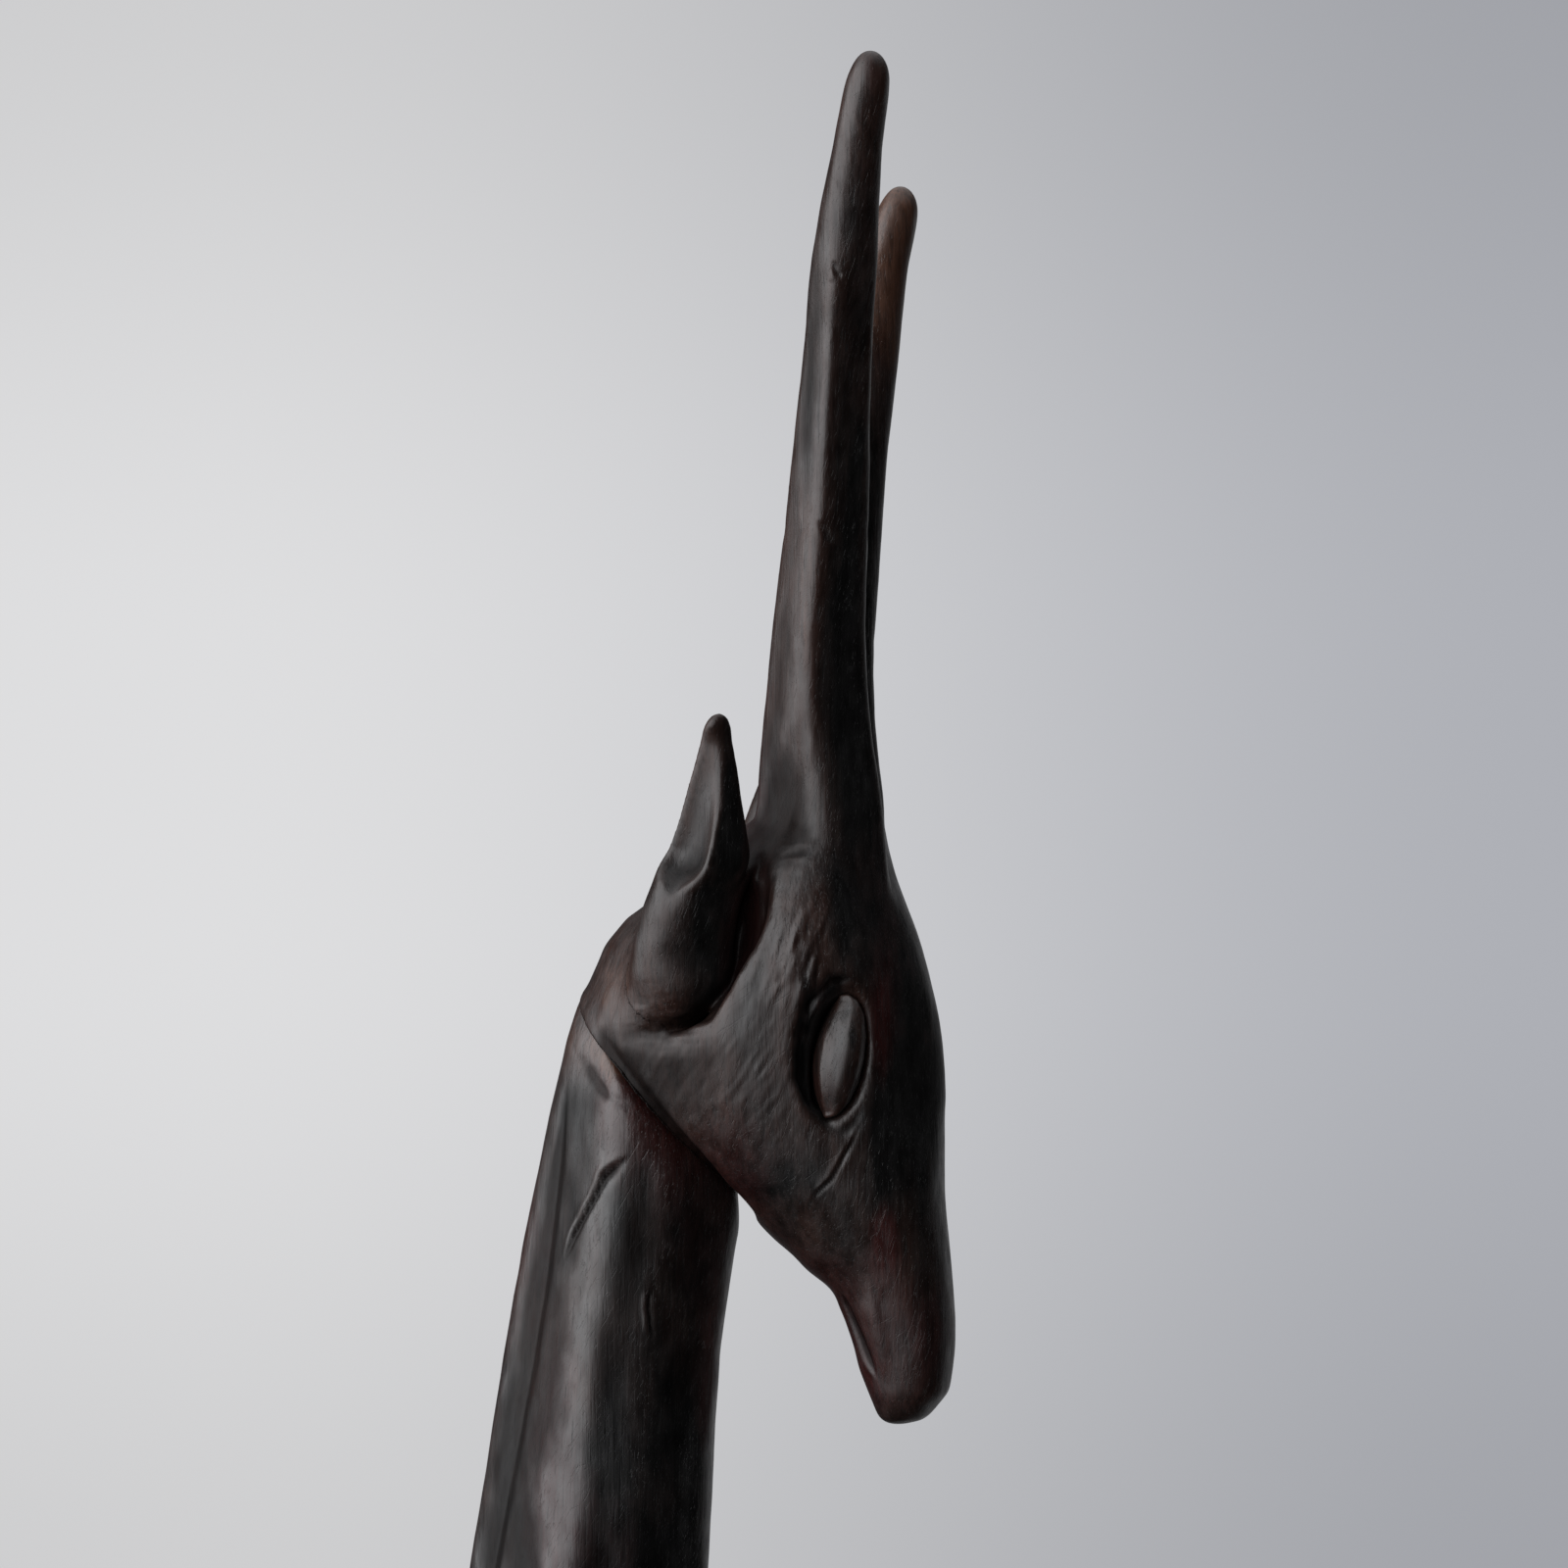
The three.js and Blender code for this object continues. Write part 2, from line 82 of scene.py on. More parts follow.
def triangles_of(node):
    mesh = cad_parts[node].data
    mesh.calc_loop_triangles()
    triangles = np.empty(len(mesh.loop_triangles) * 3, np.int32)
    mesh.loop_triangles.foreach_get("vertices", triangles)
    return triangles.reshape(-1, 3).astype(np.uint32)


def dowel_plane(node):
    """The plane that a dowel crosses square on, where the two pieces it joins meet."""
    points = corners_of(node)
    centre = (points.min(0) + points.max(0)) / 2
    axis = np.linalg.svd(points - centre, full_matrices=False)[2][0]
    return centre, axis * np.sign(axis[2])


HEAD_JOINT = dowel_plane("head_dowel")
EYES = {word: middle(f"eye_{word}") * [1, 0, 1] for word in SIDES}  # as seen from the side
HORN_TIPS = {word: high_corner(f"horn_{word}")[2] for word in SIDES}
CROWN = high_corner("ear_right")[2]  # the height at which the horns stand clear of the head
SHOULDERS = middle("neck_dowel")[2]
HOOVES = high_corner("plinth")[2] + 10  # the height of the ring round each hoof
NAPE = HEAD_JOINT[0][0] - 8  # in front of this the cheek stands over the neck
THROAT = high_corner("neck")[0]  # in front of this the jaw is clear of the neck
COLLAR = 5.5  # how far below the cheek the neck is cut back
COLLAR_DEPTH = 1.7
HORN_FRONTS = {"right": 0.8, "left": 0.2}  # how deep the plane down a horn's front is


def height_over(points, plane):
    point, direction = plane
    return (points - point) @ direction


def rise(values, start, end):
    """0 up to the start, 1 from the end, and straight between them."""
    return np.clip((values - start) / (end - start), 0, 1)


def smooth(share):
    """0 up to 0 and 1 from 1, with a soft start and end."""
    share = np.clip(share, 0, 1)
    return share * share * (3 - 2 * share)


# ---------------------------------------------------------------- randomness

CELLS = 32  # random patterns repeat after so many cells


def noise(points, size, seed, stretch=(1, 1, 1)):
    """Smooth random values from -1 to 1, in blobs of about the given size."""
    table = np.random.default_rng(seed).uniform(-1, 1, (CELLS,) * 3)
    at = points / (size * np.array(stretch))
    base = np.floor(at).astype(int)
    share = smooth(at - base)
    total = np.zeros(len(points))
    for corner in np.ndindex(2, 2, 2):
        index = (base + corner) % CELLS
        weight = np.prod(np.where(corner, share, 1 - share), axis=1)
        total += weight * table[index[:, 0], index[:, 1], index[:, 2]]
    return total


def wave(positions, size, seed):
    """Smooth random values from -1 to 1 along a line."""
    points = np.zeros((len(positions), 3))
    points[:, 2] = positions
    return noise(points, size, seed)


def scallops(points, size, seed, stretch=(1, 1, 1)):
    """Shallow overlapping hollows, 0 at a hollow's bottom and near 1 on the ridges."""
    table = np.random.default_rng(seed).uniform(0, 1, (CELLS,) * 3 + (3,))
    at = points / (size * np.array(stretch))
    base = np.floor(at).astype(int)
    nearest = np.full(len(points), np.inf)
    for shift in np.ndindex(3, 3, 3):
        cell = base + shift - 1
        index = cell % CELLS
        bottom = cell + table[index[:, 0], index[:, 1], index[:, 2]]
        nearest = np.minimum(nearest, ((at - bottom) ** 2).sum(1))
    return np.minimum(nearest, 1.0)


# ---------------------------------------------------------------- fields of distances

def blurred(values, radius, pitch):
    """Values on a lattice, evened out over a radius along each of its axes."""
    reach = int(np.ceil(2.5 * radius / pitch))  # the weights beyond this are near 0
    weights = np.exp(-0.5 * (np.arange(-reach, reach + 1) * pitch / radius) ** 2).astype(np.float32)
    weights /= weights.sum()
    for axis in range(values.ndim):
        wide = [(reach, reach) if k == axis else (0, 0) for k in range(values.ndim)]
        padded = np.pad(values, wide, mode="edge")
        values = np.zeros(values.shape, np.float32)
        for i, weight in enumerate(weights):
            part = [slice(None)] * values.ndim
            part[axis] = slice(i, i + values.shape[axis])
            values += weight * padded[tuple(part)]
    return values


def rounded_union(a, b, fillet):
    """The nearer of two surfaces, with the corner between them filled."""
    near = np.maximum(fillet - np.abs(a - b), 0) / fillet
    return np.minimum(a, b) - near * near * fillet / 4


def rounded_cut(a, b, edge):
    """What lies inside both of two surfaces, with the edge between them rounded."""
    return -rounded_union(-a, -b, edge)


class Block:
    """Distances to one carved surface, shared by the pieces that it is made of.

    Distances are negative inside. flush pieces run into each other in one surface, and
    attached ones meet it at a corner, which is filled to the given radius. Pieces in ends
    run on past the block, which reaches only round the others."""

    def __init__(self, pitch, flush, attached=(), fillet=0.0, ends=()):
        self.pitch = pitch
        inside = [node for node in (*flush, *attached) if node not in ends]
        low = np.min([low_corner(node) for node in inside], axis=0) - BAND
        high = np.max([high_corner(node) for node in inside], axis=0) + BAND
        self.low = low
        self.shape = tuple(int(n) for n in np.ceil((high - low) / pitch) + 1)
        self.own = {node: self.distances(node) for node in (*flush, *attached)}
        self.values = np.full(self.shape, BAND, np.float32)
        for node in flush:
            part, found = self.own[node]
            self.values[part] = rounded_union(self.values[part], found, 2 * GAP)
        for node in attached:
            part, found = self.own[node]
            self.values[part] = rounded_union(self.values[part], found, fillet)

    def distances(self, node):
        """The part of the block round a node, and the distances to the node there."""
        part = self.part_round(low_corner(node) - BAND, high_corner(node) + BAND)
        first = np.array([p.start for p in part])
        points = (corners_of(node) - self.low - first * self.pitch).astype(np.float32)
        grid = openvdb.FloatGrid.createLevelSetFromPolygons(
            points, triangles=triangles_of(node),
            transform=openvdb.createLinearTransform(voxelSize=self.pitch),
            halfWidth=BAND / self.pitch)
        found = np.empty([p.stop - p.start for p in part], np.float32)
        grid.copyToArray(found)
        return part, found

    def axes(self, part):
        """x, y and z of the points in a part of the block, shaped to spread over it."""
        lines = [self.low[k] + self.pitch * np.arange(self.shape[k])[part[k]] for k in range(3)]
        return np.meshgrid(*lines, indexing="ij", sparse=True)

    def soften(self, radius, swell=0.0):
        """Wears the surface smooth, then grows it to make up for what the corners lost."""
        self.values = blurred(self.values, radius, self.pitch) - swell

    def ridges(self, radius):
        """Keeps the distances evened out, to tell ridges from hollows of about that size."""
        self.wide = blurred(self.values, radius, self.pitch)

    def part_round(self, low, high):
        """The part of the block between two corners."""
        first = np.clip(np.floor((low - self.low) / self.pitch).astype(int), 0, self.shape)
        last = np.clip(np.ceil((high - self.low) / self.pitch).astype(int), 0, self.shape)
        return tuple(slice(a, b) for a, b in zip(first, last))

    def hollow(self, start, end, radius, edge=1.0):
        """Cuts away a rod with round ends. edge is how wide the cut's edge is rounded."""
        reach = radius + BAND
        part = self.part_round(np.minimum(start, end) - reach, np.maximum(start, end) + reach)
        x, y, z = self.axes(part)
        run = end - start
        along = (x - start[0]) * run[0] + (y - start[1]) * run[1] + (z - start[2]) * run[2]
        along = np.clip(along / (run @ run), 0, 1)
        away = np.sqrt((x - start[0] - along * run[0]) ** 2 + (y - start[1] - along * run[1]) ** 2
                       + (z - start[2] - along * run[2]) ** 2)
        self.values[part] = rounded_cut(self.values[part], (radius - away).astype(np.float32), edge)

    def facet(self, nodes, side, turn, depth, low, high, seed, fade=6.0, edge=1.0):
        """Planes one side of an upright limb, from the height low to the height high.

        The plane faces outwards, turned backwards by the given angle, and takes off about
        the given depth. It comes in and goes out over the height fade, and its edges are
        rounded over the width edge."""
        angle = np.radians(turn)
        forward, sideways = -np.sin(angle), side * np.cos(angle)
        spare = 2  # round the limb
        bottom = np.min([low_corner(node) for node in nodes], axis=0) - spare
        top = np.max([high_corner(node) for node in nodes], axis=0) + spare
        bottom[2] = low
        top[2] = high
        part = self.part_round(bottom, top)
        limb = np.full(self.shape, BAND, np.float32)
        for node in nodes:
            where, found = self.own[node]
            limb[where] = np.minimum(limb[where], found)
        x, y, z = self.axes(part)
        limb = np.where(y * side > 0, limb[part], BAND)
        across = (x * forward + y * sideways)[:, :, 0]
        outermost = np.where(limb < 0, across[:, :, None], -np.inf).max(axis=(0, 1))
        heights = z.ravel()
        known = np.isfinite(outermost)
        outermost = np.interp(heights, heights[known], outermost[known])
        evened = 2.5  # along the limb
        outermost = blurred(outermost.astype(np.float32), evened, self.pitch)
        ease = smooth(np.minimum(heights - low, high - heights) / fade)
        uneven = 1 + 0.45 * wave(heights, size=14, seed=seed)
        cut = outermost + edge * (1 - ease) - depth * ease * uneven
        plane = (across[:, :, None] - cut).astype(np.float32)
        round_limb = 1.0  # the plane cuts only so far round the limb
        plane = np.minimum(plane, round_limb - limb)
        self.values[part] = rounded_cut(self.values[part], plane, edge)

    def mark(self, side, low, high, lift):
        """Lifts one side's surface between two corners, by an amount for each x and z.

        Side 0 is both sides."""
        part = self.part_round(low, high)
        x, y, z = self.axes(part)
        flat = np.zeros((x.size * z.size, 3))
        flat[:, 0] = np.repeat(x.ravel(), z.size)
        flat[:, 2] = np.tile(z.ravel(), x.size)
        amount = lift(flat).reshape(x.size, 1, z.size).astype(np.float32)
        self.values[part] -= np.where((y * side > 0) | (side == 0), amount, 0)

    def others_round(self, node):
        """The distances to the nearest other piece, in the part round a node."""
        part, _ = self.own[node]
        nearest = np.full(self.shape, BAND, np.float32)
        for other, (where, found) in self.own.items():
            if other != node:
                nearest[where] = np.minimum(nearest[where], found)
        return nearest[part]

    def piece(self, node):
        """One piece's surface: points in millimetres, four-cornered faces and ridges."""
        part, own = self.own[node]
        beyond = (own - self.others_round(node)) / 2
        skin = self.values[part] + SINK * rise(beyond, 0.25 * LAP, 0.75 * LAP)
        values = rounded_cut(skin, beyond - LAP, LAP / 2)
        grid = openvdb.FloatGrid(background=BAND)
        grid.copyFromArray(np.pad(values, 1, constant_values=BAND))
        points, faces = grid.convertToQuads(isovalue=0.0)
        first = np.array([p.start for p in part])
        at = points.astype(float) - 1 + first
        return at * self.pitch + self.low, faces, self.sample(self.wide, at)

    def sample(self, values, at):
        """Values between the block's points, at places counted in its steps."""
        base = np.clip(np.floor(at).astype(int), 0, np.array(self.shape) - 2)
        share = np.clip(at - base, 0, 1)
        total = np.zeros(len(at))
        for corner in np.ndindex(2, 2, 2):
            weight = np.prod(np.where(corner, share, 1 - share), axis=1)
            index = base + corner
            total += weight * values[index[:, 0], index[:, 1], index[:, 2]]
        return total


# ---------------------------------------------------------------- knife marks

def beside(points, path):
    """How far points lie from a path seen from the side, on which side of it and how far along.

    The path is a list of (x, z). The side is -1 on the left of the way it runs and 1 on the
    right, and how far along is a share of its length."""
    flat = points[:, [0, 2]]
    path = np.array(path, float)
    lengths = np.linalg.norm(np.diff(path, axis=0), axis=1)
    done = np.concatenate([[0], np.cumsum(lengths)])
    nearest = np.full(len(points), np.inf)
    sign = np.ones(len(points))
    along = np.zeros(len(points))
    for k, length in enumerate(lengths):
        run = (path[k + 1] - path[k]) / length
        offset = flat - path[k]
        share = np.clip(offset @ run, 0, length)
        away = np.linalg.norm(offset - share[:, None] * run, axis=1)
        closer = away < nearest
        nearest = np.where(closer, away, nearest)
        right = np.sign(offset[:, 0] * run[1] - offset[:, 1] * run[0])
        sign = np.where(closer, right, sign)
        along = np.where(closer, (done[k] + share) / done[-1], along)
    return nearest, sign, along


def on_side(points, normals, side):
    """1 where the surface faces the given side, fading to 0 where it turns away."""
    full = 0.4  # how far a normal points to that side before the surface counts in full
    return np.clip(normals[:, 1] * side / full, 0, 1) * (points[:, 1] * side > 0)


def groove(points, path, width, depth, lip=0.0, taper=0.25):
    """A cut along a path, with a raised lip on the right of the way it runs.

    taper is the share of its length over which each end grows in."""
    away, sign, along = beside(points, path)
    ends = smooth(np.minimum(along, 1 - along) / taper)
    width = width * (0.35 + 0.65 * ends)  # narrower where it starts and stops
    cut = -depth * np.exp(-(away / width) ** 2)
    raised = lip * np.exp(-((away - 2.2 * width) / (1.3 * width)) ** 2) * (sign > 0)
    return (cut + raised) * ends


def spot(points, centre, size):
    """1 at a place and 0 beyond about the given size of it."""
    return np.exp(-(((points - centre) / size) ** 2).sum(1))


def seen_at(points, x, z, across, tall):
    """1 at a place seen from the side and 0 beyond about the given size of it."""
    return np.exp(-((points[:, 0] - x) / across) ** 2 - ((points[:, 2] - z) / tall) ** 2)


def flutes(points, centre, size, spacing, lean, seed):
    """Chisel flutes side by side round a place, leaning forwards by an angle."""
    angle = np.radians(lean)
    turned = points.copy()
    turned[:, 0] = points[:, 0] * np.cos(angle) - points[:, 2] * np.sin(angle)
    turned[:, 2] = points[:, 0] * np.sin(angle) + points[:, 2] * np.cos(angle)
    long = (1, 6, 5)
    rough = noise(turned, spacing, seed, long) + 0.5 * noise(turned, spacing / 2, seed + 1, long)
    return rough * spot(points, centre, size)


# ---------------------------------------------------------------- meshes

def mesh_object(name, points, faces):
    """An object made of four-cornered faces."""
    mesh = bpy.data.meshes.new(name)
    mesh.vertices.add(len(points))
    mesh.vertices.foreach_set("co", (points * MM).astype(np.float32).ravel())
    mesh.loops.add(len(faces) * 4)
    mesh.loops.foreach_set("vertex_index", faces.astype(np.int32).ravel())
    mesh.polygons.add(len(faces))
    mesh.polygons.foreach_set("loop_start", np.arange(0, len(faces) * 4, 4, dtype=np.int32))
    mesh.update(calc_edges=True)
    mesh.shade_smooth()
    made = bpy.data.objects.new(name, mesh)
    bpy.context.scene.collection.objects.link(made)
    return made


def normals_of(points, faces):
    """Each point's outward direction, from the faces round it."""
    a, b, c, d = (points[faces[:, k]] for k in range(4))
    across = np.cross(c - a, d - b)
    total = np.zeros_like(points)
    for k in range(4):
        for axis in range(3):
            total[:, axis] += np.bincount(faces[:, k], across[:, axis], len(points))
    return total / np.maximum(np.linalg.norm(total, axis=1), 1e-12)[:, None]


def store(piece, name, values):
    layer = piece.data.attributes.new(name, "FLOAT", "POINT")
    layer.data.foreach_set("value", np.maximum(values, 0).astype(np.float32))


def no_hollow_shade(points):
    """No painted shade in any hollow."""
    return np.zeros(len(points))


def finish_piece(block, node, slot, dress, hollow_shade=no_hollow_shade):
    """Meshes one piece of a block.

    dress gives how far each point is lifted, and how brown and how red the wood is there.
    Its last argument gives painted shade: how much darker and less shiny the hollows are made there."""
    points, faces, ridge = block.piece(node)  # ridge is above 0 on ridges, below it in hollows
    normals = normals_of(points, faces)
    lift, brown, red = dress(points, normals)
    made = mesh_object(f"{node}_carved", points + normals * lift[:, None], faces)
    store(made, "brown", brown)
    store(made, "red", red)
    # Wear on ridges; painted shade in hollows, which the material makes darker and less shiny.
    store(made, "wear_and_hollow_shade", 0.5 + 1.6 * ridge + 2 * lift - hollow_shade(points))  # least in hollows
    made.data.materials.append(MATERIALS[slot])
    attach(made, "root")
    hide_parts(node)
    return made


# ---------------------------------------------------------------- the carver's hand, and painted light and shade

def tooling(points, size, depth, seed):
    """Shallow knife facets, longer than they are wide, over slow and fine unevenness."""
    facets = scallops(points, size, seed, stretch=(1, 1, 2.6)) - 0.4
    uneven = noise(points, 2.5 * size, seed + 1, stretch=(1, 1, 2))
    fine = noise(points, size=1.3, seed=seed + 2, stretch=(1, 1, 2.2))
    return depth * (facets + 0.8 * uneven) + 0.03 * fine


def stain(points, seed, size=11):
    """Patches where brown wood shows through the black finish."""
    slow = noise(points, size, seed, stretch=(1, 1, 2.5))
    return 0.25 + 0.4 * slow + 0.3 * noise(points, size / 3, seed + 1, stretch=(1, 1, 2))


def dress_horns_and_head(points, normals):
    """The head's surface, turning into the horns' above the crown."""
    height = points[:, 2]
    horn = rise(height, CROWN - 22, CROWN - 6)
    lift = (1 - horn) * tooling(points, size=5.0, depth=0.1, seed=21)
    lift += horn * tooling(points, size=3.6, depth=0.09, seed=11)
    near = on_side(points, normals, SIDES["right"]) * horn
    tip = np.array([middle("horn_right")[0], 0, HORN_TIPS["right"]])
    lift += near * horn_marks(points - tip)

    # Painted light and shade: horn sides facing backwards, towards the window, are made browner, and
    # forward-facing surfaces below the upper horns blacker.
    rear = np.clip(-normals[:, 0], 0, 1)
    front = rise(normals[:, 0], 0.25, 0.875)
    upper = rise(height, HORN_TIPS["right"] - 55, HORN_TIPS["right"] - 35)
    bare = rise(height, HORN_TIPS["left"] - 29, HORN_TIPS["left"] - 15) * (points[:, 1] > 0)
    brown = stain(points, seed=22) + 0.25 * horn * rear
    brown += 0.3 * upper - 0.6 * (1 - upper) * front + 1.2 * bare
    red = 0.7 * noise(points, size=10, seed=25, stretch=(1, 1, 2)) - bare
    return lift, brown, red


def horn_marks(at):
    """Knife marks on the near horn, placed from the middle of the horn and its tip."""
    nick = [(0.4, -26.0), (1.4, -28.4)]
    slip = [(-2.0, -58.0), (-0.4, -61.0)]
    total = groove(at, nick, width=0.4, depth=0.25, lip=0.1)
    return total + groove(at, slip, width=0.35, depth=0.2)


def dress_head(points, normals):
    """The head's surface with its marks, and its jaw and throat made fuller and rounder."""
    lift, brown, red = dress_horns_and_head(points, normals)
    for word, side in SIDES.items():
        near = on_side(points, normals, side)
        at = points - EYES[word]
        lift += near * head_marks(at, side)
        brown += near * brown_places(at)
        red += near * red_places(at)
    return lift + jaw(points, normals) - throat_edge(points), brown, red


def jaw(points, normals):
    """How far the underside of the jaw is fuller, most at the corner behind the mouth."""
    at = points - EYES["right"]
    full = 0.5 * seen_at(at, x=-9.6, z=-22.6, across=6, tall=4)
    corner = 0.7 * seen_at(at, x=-4.8, z=-27.2, across=3, tall=2.4)
    return (full + corner) * np.clip(-2 * normals[:, 2], 0, 1)


def throat_edge(points):
    """How far the cheek's lower edge is rounded off where it stands over the neck."""
    above = np.maximum(height_over(points, HEAD_JOINT), 0)
    along = rise(points[:, 0], NAPE, NAPE + 4) * np.clip((THROAT - points[:, 0]) / 2, 0, 1)
    return 0.45 * np.exp(-above / 0.7) * along


def ear_hollows(at):
    """The hollows before and under an ear, placed from the middle of the eye."""
    base = [(-4.6, 44), (-6.6, 34), (-9.4, 25), (-10.6, 18)]
    valley = [(-8.6, 28), (-9.8, 24), (-11.8, 16), (-13.8, 9), (-16.0, 6)]
    cove = [(-11.8, 14), (-13.8, 8.4), (-18.0, 4.4), (-23.0, 2.4), (-29.0, 3.0)]
    total = groove(at, base, width=3.4, depth=0.9, taper=0.5)
    total += groove(at, valley, width=2.4, depth=1.6, taper=0.5)
    return total + groove(at, cove, width=2.4, depth=1.0, taper=0.5)


def head_marks(at, side):
    """Marks on one side of the head, placed from the middle of its eye."""
    crack = [(3.6, -7.2), (1.7, -11.0), (0.3, -13.6), (-0.7, -15.4), (-2.0, -16.6), (-4.6, -19.6)]
    socket_rear = [(-2.4, -7.5), (-4.1, -2.5), (-4.0, 2.5), (-2.6, 7.0), (-0.3, 9.4), (2.4, 9.6)]
    socket_foot = [(-2.4, -6.4), (-0.9, -8.8), (0.7, -9.6), (2.2, -8.4), (3.4, -5.6)]
    mouth = [(-1.6, -29.0), (0.1, -32.4), (1.9, -36.4), (3.9, -41.4)]
    snout_ridge = [(2.6, -27.0), (3.4, -31.0), (4.4, -36.5), (5.4, -42.0)]
    total = groove(at, crack, width=0.24, depth=0.26, lip=0.1, taper=0.4)
    ragged = 0.7 + 0.25 * noise(at, size=1.6, seed=36)
    total += groove(at, socket_rear, width=0.75, depth=ragged, taper=0.12)
    total += groove(at, socket_foot, width=0.7, depth=0.3)
    total += groove(at, mouth, width=0.5, depth=0.5, lip=0.15)
    total -= groove(at, snout_ridge, width=1.1, depth=0.45, taper=0.45)

    deep = 20  # takes in the whole thickness of the head
    crown = np.array([-4.6, 12.4 * side, 13.0])
    total += 0.7 * spot(at, crown, np.array([2.6, deep, 6.5]))
    chiselled = np.array([4.0, deep, 7.0])
    total += 0.24 * flutes(at, crown, chiselled, spacing=0.62, lean=16, seed=31)
    knot = np.array([-4.3, 11.0 * side, 25.3])
    total += 0.3 * flutes(at, knot, np.array([2.2, deep, 2.0]), spacing=0.8, lean=80, seed=32)
    rasped = np.array([-22.5, 12.4 * side, 4.0])
    total += 0.1 * flutes(at, rasped, np.array([5.0, deep, 3.4]), spacing=0.6, lean=84, seed=33)
    cheek = np.array([-13.0, 12.4 * side, -2.0])
    total += 0.05 * flutes(at, cheek, np.array([12, deep, 12]), spacing=0.6, lean=32, seed=34)
    return total


def brown_places(at):
    """Where the black finish is rubbed thin, placed from the middle of the eye."""
    nape = 0.7 * seen_at(at, x=-30, z=8, across=7, tall=9)
    cheek = 0.3 * seen_at(at, x=-12, z=-2, across=10, tall=7)
    below_eye = 0.3 * seen_at(at, x=-5, z=-10, across=6, tall=4)
    return nape + cheek + below_eye


def red_places(at):
    """Where red wood shows, placed from the middle of the eye."""
    before_eye = 0.9 * seen_at(at, x=5.2, z=4, across=1.4, tall=9)
    muzzle = 1.4 * seen_at(at, x=5.4, z=-22.4, across=1.9, tall=5)
    chin = 0.5 * seen_at(at, x=2, z=-42, across=3, tall=4)
    return before_eye + muzzle + chin


def painted_hollow_shade(points):
    """Painted shade in the hollows at the foot of each horn and round each ear."""
    total = np.zeros(len(points))
    for word, side in SIDES.items():
        at = points - EYES[word]
        horn_foot = 0.5 * seen_at(at, x=-6.8, z=29, across=5, tall=8.5)
        ear_front = 0.35 * seen_at(at, x=-10.5, z=15, across=3, tall=8)
        ear_foot = 0.32 * seen_at(at, x=-21, z=0, across=10, tall=6)
        total += (points[:, 1] * side > 0) * (horn_foot + ear_front + ear_foot)
    return total


def dress_ear(points, normals):
    """An ear, a little browner than the head."""
    lift, brown, red = dress_head(points, normals)
    return lift, 0.2 + brown, red


def dress_eye(points, normals):
    """The boss of an eye, scraped downwards."""
    lift = tooling(points, size=2.4, depth=0.06, seed=46)
    lift += 0.06 * noise(points, size=0.7, seed=49, stretch=(1, 1, 7))
    return lift, 0.2 + stain(points, seed=47, size=4), noise(points, size=4, seed=48)


def dress_trunk(points, normals):
    """The trunk's surface, turning into the neck's above the shoulders."""
    neck = rise(points[:, 2], SHOULDERS - 16, SHOULDERS - 6)
    lift = (1 - neck) * tooling(points, size=7.0, depth=0.24, seed=61)
    lift += neck * tooling(points, size=6.0, depth=0.15, seed=51)
    lift += 0.05 * noise(points, size=2.4, seed=54, stretch=(1, 1, 1.5))
    # Painted light: sides facing backwards, towards the window, are made browner.
    rear = np.clip(-2 * normals[:, 0] - 1, 0, 1)
    brown = stain(points, seed=52) + 0.5 * rear
    return lift, brown, noise(points, size=9, seed=55, stretch=(1, 1, 2))


def dress_neck(points, normals):
    """The neck, browner on its ledge and under the cheek."""
    lift, brown, red = dress_trunk(points, normals)
    for word, side in SIDES.items():
        near = on_side(points, normals, side)
        at = points - EYES[word]
        lift += near * neck_marks(at)
        brown += near * seen_at(at, x=-31, z=-0.5, across=6, tall=4)
    return lift, brown + 0.5 * collar(points), red


def collar(points):
    """0 to 1 as the neck goes in under the cheek."""
    height = height_over(points, HEAD_JOINT)
    return np.clip(1 + height / COLLAR, 0, 1) ** 1.6 * rise(points[:, 0], NAPE - 2, NAPE + 6)


def neck_marks(at):
    """Marks on one side of the neck, placed from the middle of the eye."""
    ledge = [(-36.5, 1.2), (-33.6, -1.2), (-30.8, -4.4), (-28.6, -6.0), (-25.0, -6.6), (-21.5, -6.2)]
    gash = [(-26.0, -12.4), (-29.9, -15.9), (-31.6, -18.8), (-34.6, -23.6), (-36.4, -27.5)]
    crack = [(-24.4, -29.2), (-24.8, -32.0), (-24.5, -36.7)]
    back = [(-36.0, -2), (-39.2, -29), (-43.6, -54), (-46.2, -66), (-51.0, -95), (-56.0, -125)]
    ragged = 0.25 + 0.2 * noise(at, size=1.5, seed=57)
    total = groove(at, ledge, width=0.9, depth=ragged, taper=0.4)
    wide = 0.34 + 0.45 * seen_at(at, x=-28.5, z=-14.6, across=2.6, tall=2.6)
    total += groove(at, gash, width=wide, depth=0.25 + wide / 2, lip=0.25, taper=0.3)
    total += groove(at, crack, width=0.2, depth=0.25, lip=0.2)
    wavering = 0.3 + 0.12 * wave(at[:, 2], size=9, seed=56)
    return total + groove(at, back, width=0.8, depth=wavering, taper=0.1)


def dress_leg(points, normals):
    """A leg, with a ring cut round the top of its hoof and a cleft up the hoof's front."""
    lift, brown, red = dress_trunk(points, normals)
    height = points[:, 2] - HOOVES
    ring = np.exp(-(height / 0.6) ** 2)
    middle_y = points[np.abs(height) < 2, 1].mean()
    ahead = np.clip(2 * normals[:, 0], 0, 1) * (height < 0)
    cleft = ahead * np.exp(-((points[:, 1] - middle_y) / 0.5) ** 2)
    return lift - 0.45 * ring - 0.7 * cleft, brown, red


def dress_tail(points, normals):
    """The tail, with its tuft cut into strands."""
    lift, brown, red = dress_trunk(points, normals)
    end = low_corner("tail")[2]
    tuft = 1 - rise(points[:, 2], end + 24, end + 32)
    return lift + 0.35 * tuft * noise(points, size=1.1, seed=67, stretch=(1, 1, 9)), brown, red


